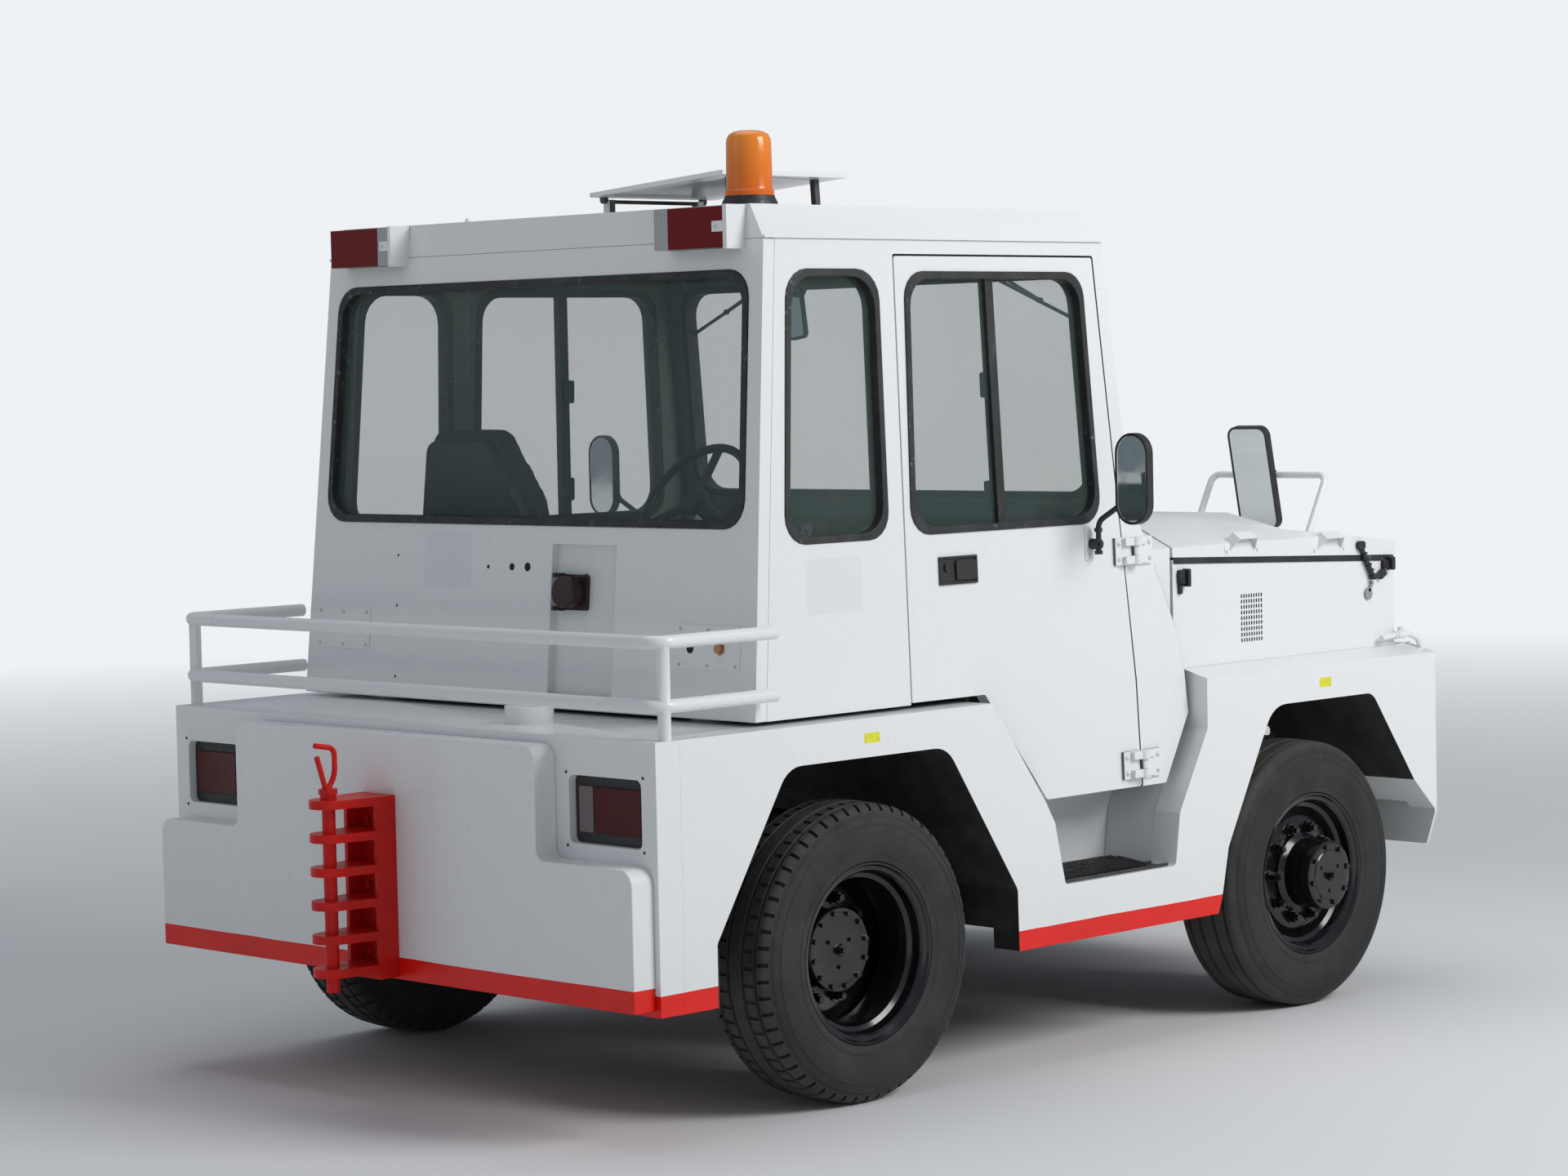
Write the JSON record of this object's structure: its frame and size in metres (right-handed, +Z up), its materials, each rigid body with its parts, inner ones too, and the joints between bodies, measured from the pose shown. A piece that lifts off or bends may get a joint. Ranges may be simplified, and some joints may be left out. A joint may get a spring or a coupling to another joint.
{
  "type": "aircraft pushback tractor",
  "caption": "White ballasted aircraft pushback tractor with glazed cab, red multi-height tow coupling, guard rail and steered front wheels.",
  "frame": {"origin": "on the ground under the centre of the bounding box", "axes": "+X forward, +Y to the left of the driver, +Z up"},
  "size_m": [4.04, 2.453, 2.753],
  "materials": {
    "white_paint": "gloss",
    "black_paint": "gloss",
    "frame_black": "satin",
    "red_paint": "gloss",
    "step_metal": "brushed",
    "engine_iron": "rough",
    "tyre_rubber": "matte",
    "seal_rubber": "matte",
    "cab_glass": "clear",
    "lamp_red": "gloss",
    "lamp_clear": "gloss",
    "beacon_amber": "gloss",
    "black_plastic": "satin",
    "seat_cloth": "woven",
    "grey_trim": "matte"
  },
  "bodies": {
    "chassis": {"chassis_frame": "frame_black", "engine_block": "engine_iron", "rear_axle": "frame_black", "front_axle": "frame_black", "side_left": "white_paint", "side_right": "white_paint", "rear_wall": "white_paint", "rear_plate": "white_paint", "deck": "white_paint", "front_plate": "white_paint", "steps": "step_metal", "cab_floor": "grey_trim", "cab_rear_wall": "white_paint", "cab_side_left": "white_paint", "cab_side_right": "white_paint", "cab_front": "white_paint", "roof": "white_paint", "cab_glass": "cab_glass", "window_seals": "seal_rubber", "bonnet_sides": "white_paint", "rail": "white_paint", "rear_coupling": "red_paint", "front_coupling": "red_paint", "rear_lamps": "lamp_red", "headlamps": "lamp_clear", "beacon_base": "black_plastic", "beacon_lens": "beacon_amber", "seat": "seat_cloth", "dashboard": "black_plastic"},
    "wheel_rl": {"wheel_rear_left": "black_paint", "tyre_rear_left": "tyre_rubber"},
    "wheel_rr": {"wheel_rear_right": "black_paint", "tyre_rear_right": "tyre_rubber"},
    "steer_l": {"knuckle_left": "black_paint"},
    "steer_r": {"knuckle_right": "black_paint"},
    "wheel_fl": {"wheel_front_left": "black_paint", "tyre_front_left": "tyre_rubber"},
    "wheel_fr": {"wheel_front_right": "black_paint", "tyre_front_right": "tyre_rubber"},
    "steering": {"steering_wheel": "black_plastic"},
    "door_l": {"door_left": "white_paint", "door_frame_left": "seal_rubber", "door_glass_left": "cab_glass", "mirror_left": "black_plastic"},
    "door_r": {"door_right": "white_paint", "door_frame_right": "seal_rubber", "door_glass_right": "cab_glass", "mirror_right": "black_plastic"},
    "lid": {"bonnet_lid": "white_paint", "mirror_hoop": "white_paint", "bonnet_mirror": "black_plastic"},
    "hatch": {"roof_hatch": "white_paint"},
    "pin": {"coupling_pin": "red_paint"}
  },
  "joints": [
    {"name": "rear_left_spin", "type": "hinge", "parent": "chassis", "child": "wheel_rl", "pos_m": [-0.877, 0.937, 0.427], "axis": [0, 1, 0], "continuous": true},
    {"name": "rear_right_spin", "type": "hinge", "parent": "chassis", "child": "wheel_rr", "pos_m": [-0.877, -0.937, 0.427], "axis": [0, 1, 0], "continuous": true},
    {"name": "steer_left", "type": "hinge", "parent": "chassis", "child": "steer_l", "pos_m": [1.196, 0.885, 0.427], "axis": [0, 0, 1], "range_deg": [-26, 26]},
    {"name": "steer_right", "type": "hinge", "parent": "chassis", "child": "steer_r", "pos_m": [1.196, -0.885, 0.427], "axis": [0, 0, 1], "range_deg": [-26, 26]},
    {"name": "front_left_spin", "type": "hinge", "parent": "steer_l", "child": "wheel_fl", "pos_m": [1.196, 0.937, 0.427], "axis": [0, 1, 0], "continuous": true},
    {"name": "front_right_spin", "type": "hinge", "parent": "steer_r", "child": "wheel_fr", "pos_m": [1.196, -0.937, 0.427], "axis": [0, 1, 0], "continuous": true},
    {"name": "steering_turn", "type": "hinge", "parent": "chassis", "child": "steering", "pos_m": [-0.07385, 0.4505, 1.65917], "axis": [-0.8192, 0, 0.5736], "range_deg": [-470, 470]},
    {"name": "door_left_swing", "type": "hinge", "parent": "chassis", "child": "door_l", "pos_m": [0.393, 0.99792, 1.503], "axis": [0, 0.0318, -0.9995], "range_deg": [0, 80]},
    {"name": "door_right_swing", "type": "hinge", "parent": "chassis", "child": "door_r", "pos_m": [0.393, -0.99792, 1.503], "axis": [0, 0.0318, 0.9995], "range_deg": [0, 80]},
    {"name": "lid_lift", "type": "hinge", "parent": "chassis", "child": "lid", "pos_m": [0.917, 0.9855, 1.45332], "axis": [-0.9992, 0, 0.0411], "range_deg": [0, 55]},
    {"name": "hatch_tilt", "type": "hinge", "parent": "chassis", "child": "hatch", "pos_m": [-0.381, 0.288, 2.607], "axis": [1, 0, 0], "range_deg": [0, 8]},
    {"name": "pin_lift", "type": "slide", "parent": "chassis", "child": "pin", "axis": [0, 0, 1], "range_m": [0, 0.5]}
  ],
  "couplings": [
    {"joint": "steer_right", "follows": "steer_left", "ratio": 1},
    {"joint": "steering_turn", "follows": "steer_left", "ratio": 18}
  ]
}
